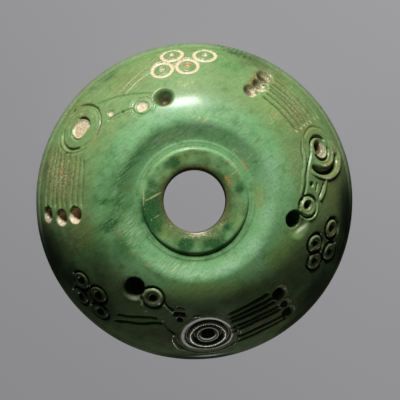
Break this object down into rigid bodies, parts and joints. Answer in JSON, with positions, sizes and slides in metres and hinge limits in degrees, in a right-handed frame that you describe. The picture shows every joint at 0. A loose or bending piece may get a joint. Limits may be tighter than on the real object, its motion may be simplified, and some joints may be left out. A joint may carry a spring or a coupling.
{
  "type": "spindle whorl",
  "caption": "Domed ring of polished green stone with a central bore for a spindle, a low collar in a shallow dish, and incised eyed figures with plumes round its dome.",
  "frame": {"origin": "centre of the flat underside, on the bore's axis", "axes": "+Z along the bore's axis, from the flat underside towards the collar on the carved side; +X towards the picture's right; +Y towards the picture's top"},
  "size_m": [0.04, 0.04, 0.0116],
  "materials": {
    "green_stone": "polished"
  },
  "bodies": {
    "root": {"whorl": "green_stone"}
  },
  "joints": []
}
